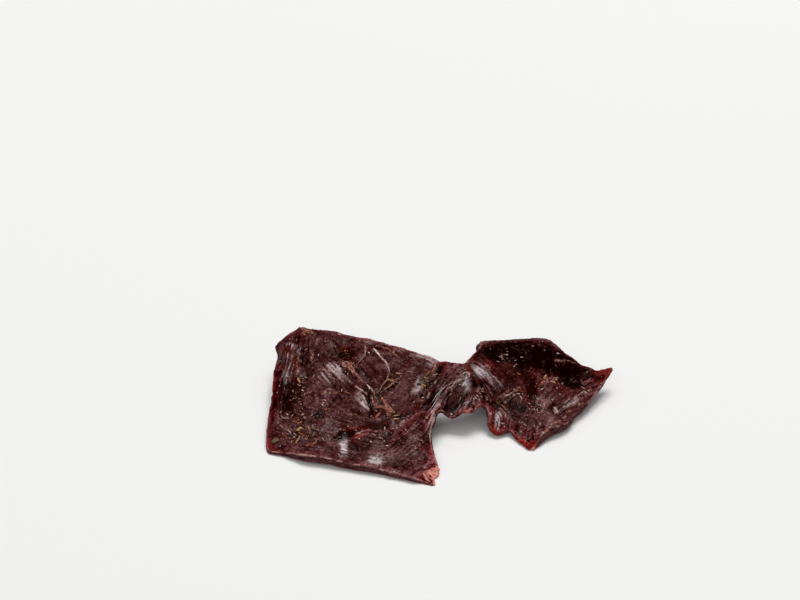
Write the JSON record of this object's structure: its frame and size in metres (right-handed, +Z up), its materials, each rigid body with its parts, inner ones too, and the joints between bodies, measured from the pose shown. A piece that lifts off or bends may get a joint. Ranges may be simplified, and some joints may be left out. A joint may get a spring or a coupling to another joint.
{
  "type": "dry-cured elk meat",
  "caption": "Thin uneven slice of dry-cured elk meat with a squarish lobe, a pleated neck and a smaller curled lobe, torn at its tips and strewn with herb flakes.",
  "frame": {"origin": "under the middle of the slice's box, on the surface that it lies on", "axes": "+X along the slice's length towards the smaller lobe, +Y away from the cut front edge, +Z up"},
  "size_m": [0.1162, 0.0758, 0.0196],
  "materials": {
    "dried_meat": "satin, dark red-brown, creased"
  },
  "bodies": {
    "root": {"meat_slice": "dried_meat"}
  },
  "joints": []
}
